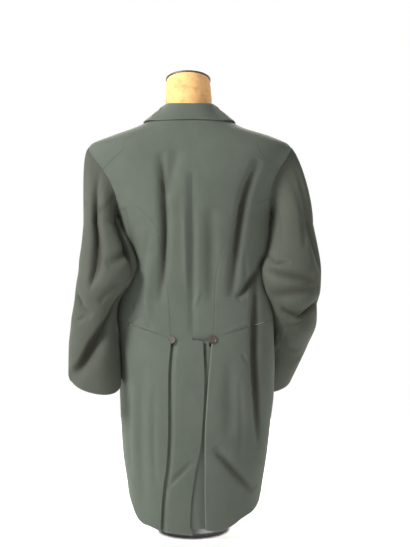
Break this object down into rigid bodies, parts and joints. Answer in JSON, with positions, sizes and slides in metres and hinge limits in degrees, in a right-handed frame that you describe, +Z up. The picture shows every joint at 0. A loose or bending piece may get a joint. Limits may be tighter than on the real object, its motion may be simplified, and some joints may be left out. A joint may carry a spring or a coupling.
{
  "type": "tailcoat on a dress form",
  "caption": "Historic wool tailcoat with a cut-away front, long back tails and rolled collar, shown from behind on a limbless dress form with a round foot.",
  "frame": {"origin": "centre of the round stand base's underside, on the floor", "axes": "+Z up along the coat's centre back, +X towards the wearer's left, -Y towards the wearer's front, so the back of the coat faces +Y"},
  "size_m": [0.5774, 0.2882, 1.0641],
  "materials": {
    "coat_wool": "smooth olive grey wool twill with a faint sheen",
    "button_left_horn": "worn grey horn",
    "button_right_horn": "polished dark horn",
    "form_linen": "cream linen stretched over padding, yellowed and mottled",
    "plate_wood": "dark stained and waxed",
    "stand_iron": "black painted cast iron"
  },
  "bodies": {
    "root": {"back_left": "coat_wool", "back_right": "coat_wool", "forepart_left": "coat_wool", "forepart_right": "coat_wool", "skirt_left": "coat_wool", "skirt_right": "coat_wool", "sleeve_top_left": "coat_wool", "sleeve_top_right": "coat_wool", "sleeve_under_left": "coat_wool", "sleeve_under_right": "coat_wool", "lapel_left": "coat_wool", "lapel_right": "coat_wool", "collar": "coat_wool", "button_left": "button_left_horn", "button_right": "button_right_horn", "form_body": "form_linen", "form_neck_plate": "plate_wood", "stand_pole": "stand_iron", "stand_base": "stand_iron"}
  },
  "joints": []
}
